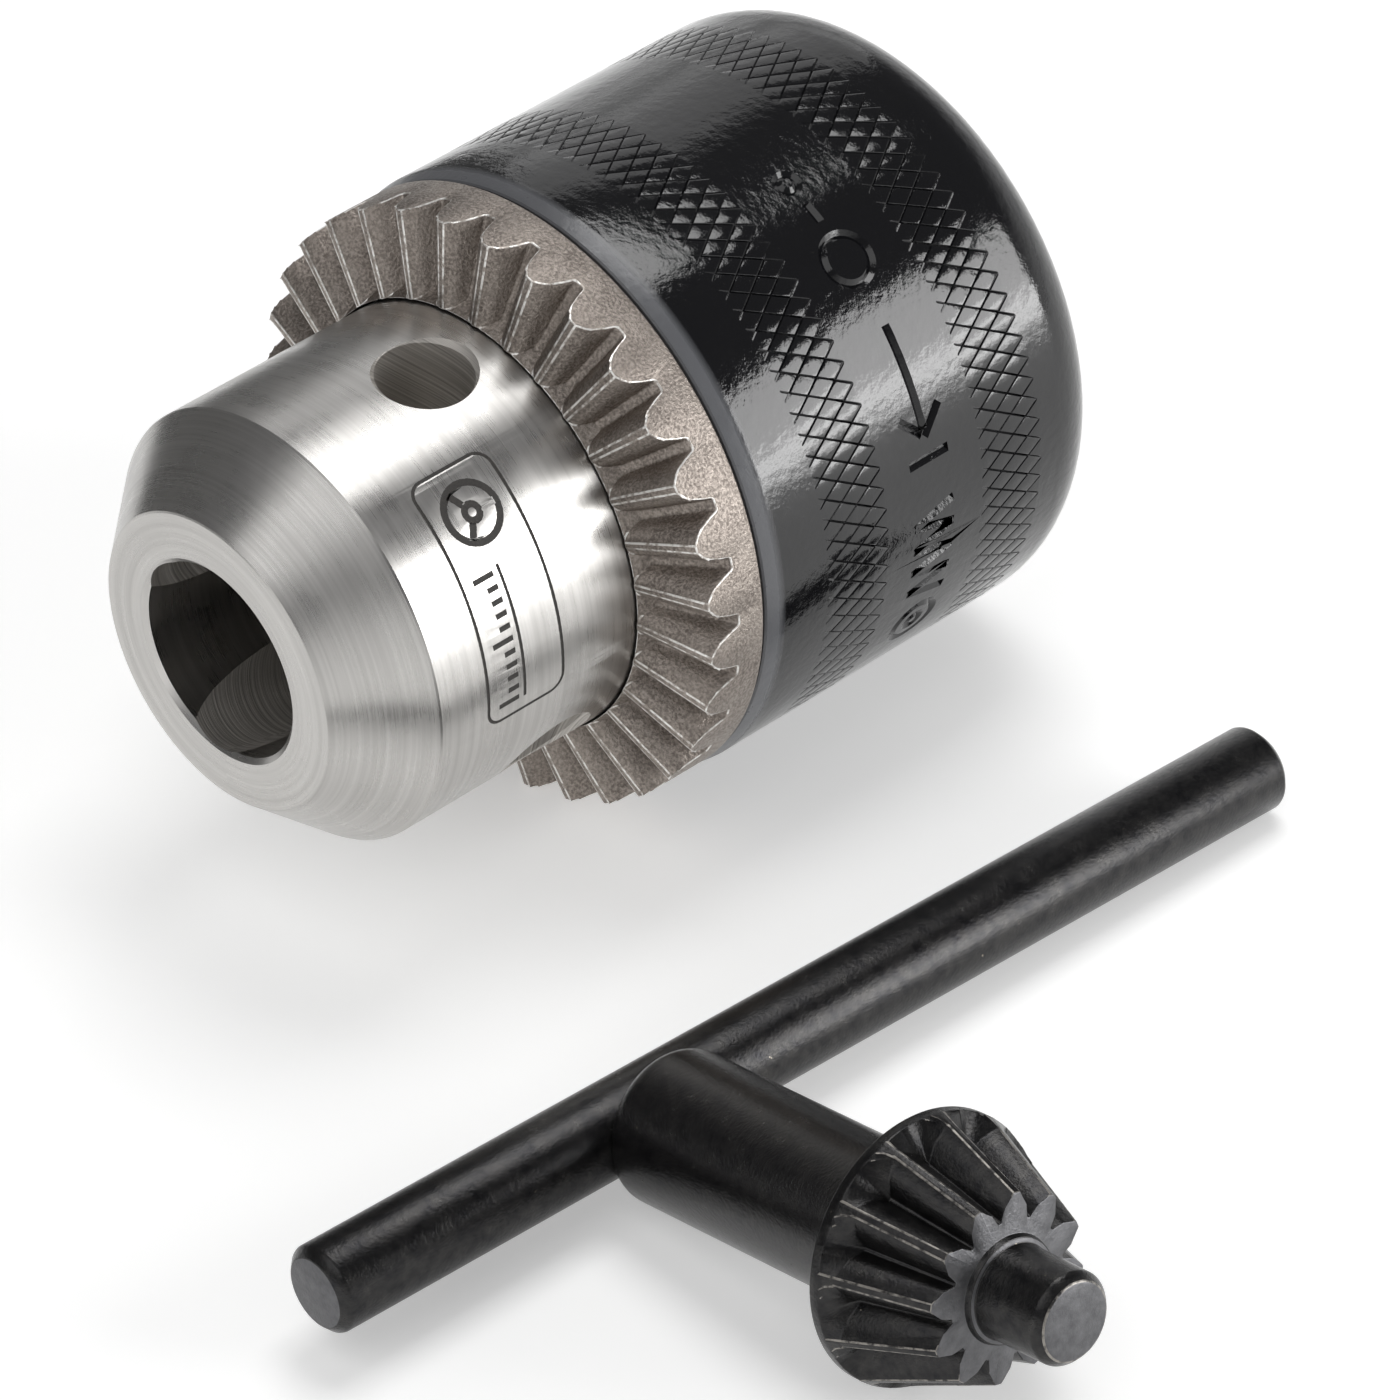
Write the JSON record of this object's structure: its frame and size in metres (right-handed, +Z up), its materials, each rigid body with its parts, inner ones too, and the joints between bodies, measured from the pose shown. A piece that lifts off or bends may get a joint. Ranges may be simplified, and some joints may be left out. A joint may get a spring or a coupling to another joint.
{
  "type": "keyed drill chuck",
  "caption": "Three-jaw keyed drill chuck with knurled sleeve, toothed ring and threaded rear hub, lying beside its T-handled geared key.",
  "frame": {"origin": "middle of the footprint, on the surface that the chuck and its key lie on", "axes": "+Z up; +Y along the chuck's axis from its nose to its rear hub; +X from the chuck towards its key"},
  "size_m": [0.0972, 0.0846, 0.043],
  "materials": {
    "ground_steel": "fine turned and ground, satin",
    "hardened_steel": "hardened, dull",
    "nut_steel": "as turned",
    "forged_steel": "matt, pressed and grainy",
    "black_enamel": "glossy black enamel over knurled steel",
    "black_oxide": "black oxide, satin, worn at the edges",
    "black_oxide_bar": "black oxide on drawn bar, satin"
  },
  "bodies": {
    "chuck_body": {"chuck_body": "ground_steel"},
    "sleeve": {"knurled_sleeve": "black_enamel", "ring_gear": "forged_steel", "nut_half_a": "nut_steel", "nut_half_b": "nut_steel"},
    "jaw_1": {"jaw_1": "hardened_steel"},
    "jaw_2": {"jaw_2": "hardened_steel"},
    "jaw_3": {"jaw_3": "hardened_steel"},
    "key": {"key_body": "black_oxide", "key_handle": "black_oxide_bar"}
  },
  "joints": [
    {"name": "sleeve_turn", "type": "hinge", "parent": "chuck_body", "child": "sleeve", "pos_m": [-0.02705, -0.01767, 0.0215], "axis": [0, 1, 0], "range_deg": [0, 4950]},
    {"name": "jaw_1_slide", "type": "slide", "parent": "chuck_body", "child": "jaw_1", "axis": [-0.2261, -0.9703, -0.0861], "range_m": [0, 0.0248]},
    {"name": "jaw_2_slide", "type": "slide", "parent": "chuck_body", "child": "jaw_2", "axis": [0.0385, -0.9703, 0.2388], "range_m": [0, 0.0248]},
    {"name": "jaw_3_slide", "type": "slide", "parent": "chuck_body", "child": "jaw_3", "axis": [0.1876, -0.9703, -0.1527], "range_m": [0, 0.0248]},
    {"name": "key_lift", "type": "slide", "parent": "chuck_body", "child": "key", "axis": [0, 0, 1], "range_m": [0, 0.06]}
  ],
  "couplings": [
    {"joint": "jaw_1_slide", "follows": "sleeve_turn", "m_per_rad": 0.00028648},
    {"joint": "jaw_2_slide", "follows": "sleeve_turn", "m_per_rad": 0.00028648},
    {"joint": "jaw_3_slide", "follows": "sleeve_turn", "m_per_rad": 0.00028648}
  ]
}
